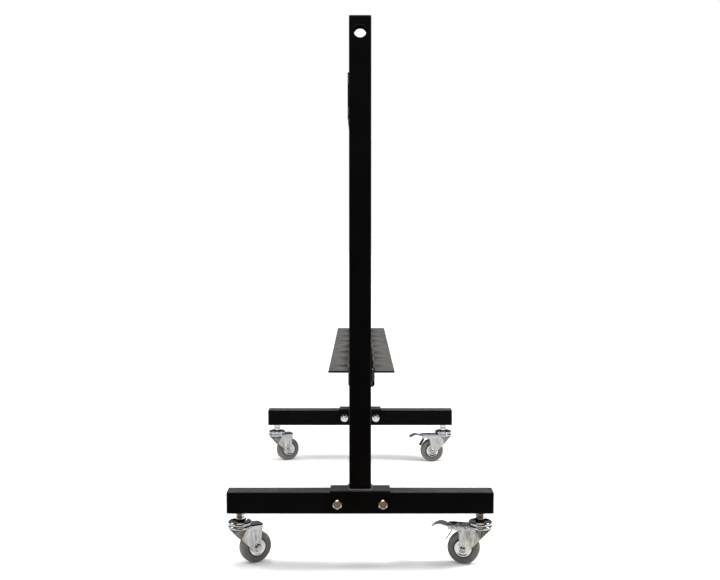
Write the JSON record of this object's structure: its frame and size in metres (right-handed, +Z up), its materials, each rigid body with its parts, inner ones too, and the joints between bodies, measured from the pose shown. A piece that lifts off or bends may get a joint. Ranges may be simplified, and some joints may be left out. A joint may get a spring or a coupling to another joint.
{
  "type": "mobile equipment rack",
  "caption": "Rolling two-post rack: two T-shaped square-tube ends on braked and plain swivel casters, joined by a low double-winged ledge and an upper panel.",
  "frame": {"origin": "on the floor, under the middle of the rack", "axes": "+X across the rack along each foot, towards the braked casters; +Y along the ledge, from the front end frame to the rear one; +Z up"},
  "size_m": [0.61, 1.1471, 1.247],
  "materials": {
    "black_powder_coat": "satin black powder coat, fine orange peel",
    "zinc_plate": "bright zinc plate",
    "plain_steel": "oiled steel",
    "black_plastic": "fine-grained black polyethylene",
    "hub_plastic": "moulded dark polypropylene",
    "grey_rubber": "matt warm grey thermoplastic rubber"
  },
  "bodies": {
    "frame": {"front_foot": "black_powder_coat", "rear_foot": "black_powder_coat", "front_saddle": "black_powder_coat", "rear_saddle": "black_powder_coat", "front_upright": "black_powder_coat", "rear_upright": "black_powder_coat", "ledge_channel": "black_powder_coat", "left_ledge_wing": "black_powder_coat", "right_ledge_wing": "black_powder_coat", "upper_panel": "black_powder_coat", "upright_caps": "black_plastic", "foot_end_caps": "black_plastic", "foot_bolts": "zinc_plate", "foot_bolt_washers": "zinc_plate", "foot_bolt_nuts": "zinc_plate", "caster_stems": "zinc_plate", "caster_top_races": "zinc_plate", "caster_lock_nuts": "zinc_plate", "caster_weld_nuts": "plain_steel"},
    "front_left_caster": {"front_left_swivel_balls": "plain_steel", "front_left_fork": "zinc_plate", "front_left_axle_bolt": "zinc_plate", "front_left_axle_nut": "zinc_plate", "front_left_axle_sleeve": "plain_steel", "front_left_dust_covers": "zinc_plate"},
    "front_left_wheel": {"front_left_hub": "hub_plastic", "front_left_tyre": "grey_rubber"},
    "rear_left_caster": {"rear_left_swivel_balls": "plain_steel", "rear_left_fork": "zinc_plate", "rear_left_axle_bolt": "zinc_plate", "rear_left_axle_nut": "zinc_plate", "rear_left_axle_sleeve": "plain_steel", "rear_left_dust_covers": "zinc_plate"},
    "rear_left_wheel": {"rear_left_hub": "hub_plastic", "rear_left_tyre": "grey_rubber"},
    "front_right_caster": {"front_right_swivel_balls": "plain_steel", "front_right_fork": "zinc_plate", "front_right_axle_bolt": "zinc_plate", "front_right_axle_nut": "zinc_plate", "front_right_axle_sleeve": "plain_steel", "front_right_dust_covers": "zinc_plate", "front_right_brake_pin": "zinc_plate", "front_right_brake_spring": "plain_steel"},
    "front_right_wheel": {"front_right_hub": "hub_plastic", "front_right_tyre": "grey_rubber"},
    "front_right_brake": {"front_right_brake_pedal": "zinc_plate"},
    "rear_right_caster": {"rear_right_swivel_balls": "plain_steel", "rear_right_fork": "zinc_plate", "rear_right_axle_bolt": "zinc_plate", "rear_right_axle_nut": "zinc_plate", "rear_right_axle_sleeve": "plain_steel", "rear_right_dust_covers": "zinc_plate", "rear_right_brake_pin": "zinc_plate", "rear_right_brake_spring": "plain_steel"},
    "rear_right_wheel": {"rear_right_hub": "hub_plastic", "rear_right_tyre": "grey_rubber"},
    "rear_right_brake": {"rear_right_brake_pedal": "zinc_plate"}
  },
  "joints": [
    {"name": "front_left_swivel", "type": "hinge", "parent": "frame", "child": "front_left_caster", "pos_m": [-0.277, -0.5335, 0.0933], "axis": [0, 0, 1], "continuous": true},
    {"name": "front_left_wheel_spin", "type": "hinge", "parent": "front_left_caster", "child": "front_left_wheel", "pos_m": [-0.24409, -0.5145, 0.0375], "axis": [-0.5, 0.866, 0], "continuous": true},
    {"name": "rear_left_swivel", "type": "hinge", "parent": "frame", "child": "rear_left_caster", "pos_m": [-0.277, 0.5335, 0.0933], "axis": [0, 0, 1], "continuous": true},
    {"name": "rear_left_wheel_spin", "type": "hinge", "parent": "rear_left_caster", "child": "rear_left_wheel", "pos_m": [-0.24314, 0.55075, 0.0375], "axis": [-0.454, 0.891, 0], "continuous": true},
    {"name": "front_right_swivel", "type": "hinge", "parent": "frame", "child": "front_right_caster", "pos_m": [0.277, -0.5335, 0.0933], "axis": [0, 0, 1], "continuous": true},
    {"name": "front_right_wheel_spin", "type": "hinge", "parent": "front_right_caster", "child": "front_right_wheel", "pos_m": [0.24029, -0.52366, 0.0375], "axis": [-0.2588, -0.9659, 0], "continuous": true},
    {"name": "front_right_brake_press", "type": "hinge", "parent": "front_right_caster", "child": "front_right_brake", "pos_m": [0.22967, -0.52082, 0.0823], "axis": [-0.2588, -0.9659, 0], "range_deg": [0, 8]},
    {"name": "rear_right_swivel", "type": "hinge", "parent": "frame", "child": "rear_right_caster", "pos_m": [0.277, 0.5335, 0.0933], "axis": [0, 0, 1], "continuous": true},
    {"name": "rear_right_wheel_spin", "type": "hinge", "parent": "rear_right_caster", "child": "rear_right_wheel", "pos_m": [0.23924, 0.5292, 0.0375], "axis": [0.1132, -0.9936, 0], "continuous": true},
    {"name": "rear_right_brake_press", "type": "hinge", "parent": "rear_right_caster", "child": "rear_right_brake", "pos_m": [0.22831, 0.52795, 0.0823], "axis": [0.1132, -0.9936, 0], "range_deg": [0, 8]}
  ]
}
